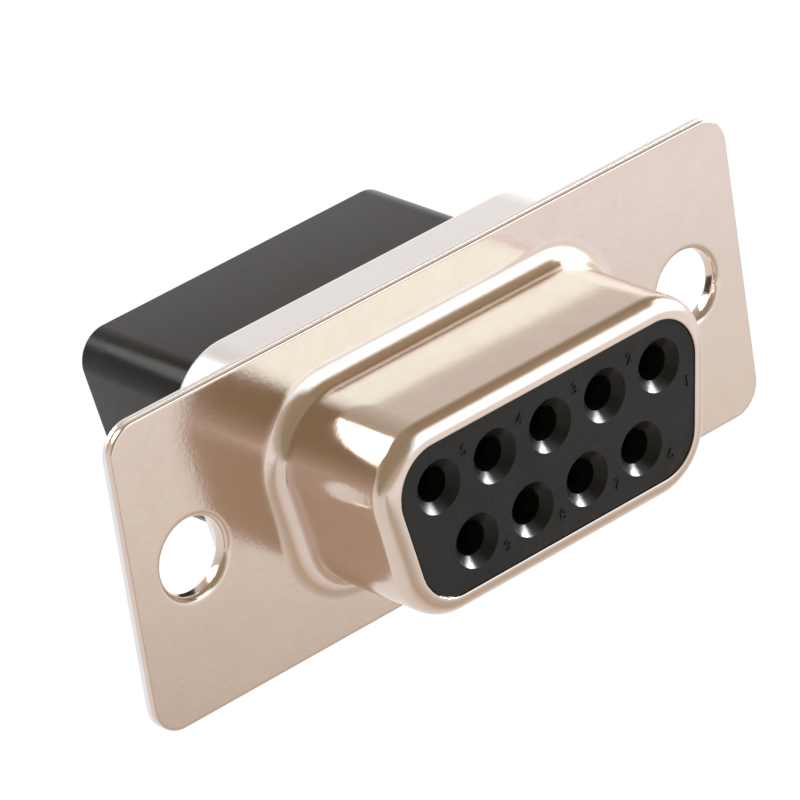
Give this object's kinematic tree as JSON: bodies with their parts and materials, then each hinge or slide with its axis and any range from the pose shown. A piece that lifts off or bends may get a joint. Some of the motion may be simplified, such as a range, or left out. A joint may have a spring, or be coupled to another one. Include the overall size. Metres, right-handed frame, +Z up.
{
  "type": "d-sub connector",
  "caption": "Panel-mount D-sub receptacle: a plated steel shell with a D-shaped shroud around a black insulator, which holds socket contacts for crimped wires.",
  "frame": {"origin": "centre of the flange's front (panel) face, midway between the two screw holes", "axes": "+X along the flange, -Y the mating direction, +Z up with the row of five contacts on top"},
  "size_m": [0.0308, 0.0172, 0.0126],
  "materials": {
    "bright_nickel": "bright nickel plate on drawn steel, slightly rippled",
    "dull_nickel": "duller nickel plate on drawn steel",
    "black_plastic": "moulded black polyester, satin with glossy countersinks",
    "gold_plate": "gold flash on turned copper alloy",
    "spring_steel": "bright stainless spring strip"
  },
  "bodies": {
    "root": {"front_shell": "bright_nickel", "rear_shell": "dull_nickel", "front_insulator": "black_plastic", "rear_insulator": "black_plastic", "contact_1": "gold_plate", "contact_2": "gold_plate", "contact_3": "gold_plate", "contact_4": "gold_plate", "contact_5": "gold_plate", "contact_6": "gold_plate", "contact_7": "gold_plate", "contact_8": "gold_plate", "contact_9": "gold_plate", "retention_clip_1": "spring_steel", "retention_clip_2": "spring_steel", "retention_clip_3": "spring_steel", "retention_clip_4": "spring_steel", "retention_clip_5": "spring_steel", "retention_clip_6": "spring_steel", "retention_clip_7": "spring_steel", "retention_clip_8": "spring_steel", "retention_clip_9": "spring_steel"}
  },
  "joints": []
}
